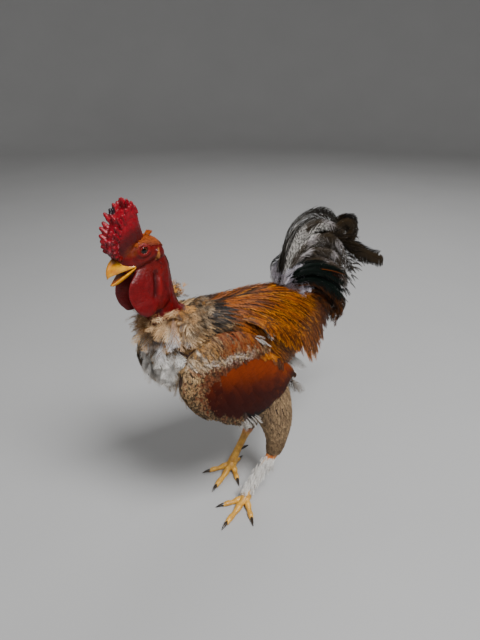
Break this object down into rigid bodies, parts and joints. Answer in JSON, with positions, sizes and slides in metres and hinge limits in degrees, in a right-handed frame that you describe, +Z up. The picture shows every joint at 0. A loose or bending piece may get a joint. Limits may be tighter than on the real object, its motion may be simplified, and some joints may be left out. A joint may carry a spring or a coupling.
{
  "type": "carioca rooster",
  "caption": "Life-size standing naked-neck rooster with a tall rose comb, long wattles, a tufted neck base, golden saddle hackles, mahogany wings and a short fanned tail.",
  "frame": {"origin": "on the floor, under the middle of the bird's bounding box", "axes": "+Z up, -Y the way the bird faces, +X its left side"},
  "size_m": [0.1579, 0.5024, 0.4779],
  "materials": {
    "bare_skin": "bare wrinkled crimson skin",
    "comb_skin": "crimson papillate skin with a soft sheen",
    "lobe_skin": "cream skin",
    "bill_horn": "smooth yellow horn",
    "eye": "wet eye with an orange-brown iris",
    "cream_feather": "fluffy cream and tan down",
    "gold_feather": "glossy golden-orange hackles with dark streaks",
    "mahogany_feather": "glossy mahogany vanes with a speckled rim",
    "tail_feather": "brown-black and grey frayed vanes",
    "stippled_feather": "grey-brown stippled feathers",
    "leg_scale": "yellow scutes",
    "claw_horn": "dark horn"
  },
  "bodies": {
    "root": {"head": "bare_skin", "neck": "bare_skin", "comb": "comb_skin", "wattle_left": "comb_skin", "wattle_right": "comb_skin", "earlobe_left": "lobe_skin", "earlobe_right": "lobe_skin", "bill_upper": "bill_horn", "bill_lower": "bill_horn", "eye_left": "eye", "eye_right": "eye", "ruff": "cream_feather", "torso": "gold_feather", "wing_left": "mahogany_feather", "wing_right": "mahogany_feather", "tail": "tail_feather", "thigh_left": "stippled_feather", "thigh_right": "stippled_feather", "shank_left": "leg_scale", "shank_right": "leg_scale", "foot_left": "leg_scale", "foot_right": "leg_scale", "claw_left_middle": "claw_horn", "claw_left_inner": "claw_horn", "claw_left_outer": "claw_horn", "claw_left_hind": "claw_horn", "claw_right_middle": "claw_horn", "claw_right_inner": "claw_horn", "claw_right_outer": "claw_horn", "claw_right_hind": "claw_horn", "spur_left": "claw_horn", "spur_right": "claw_horn"}
  },
  "joints": []
}
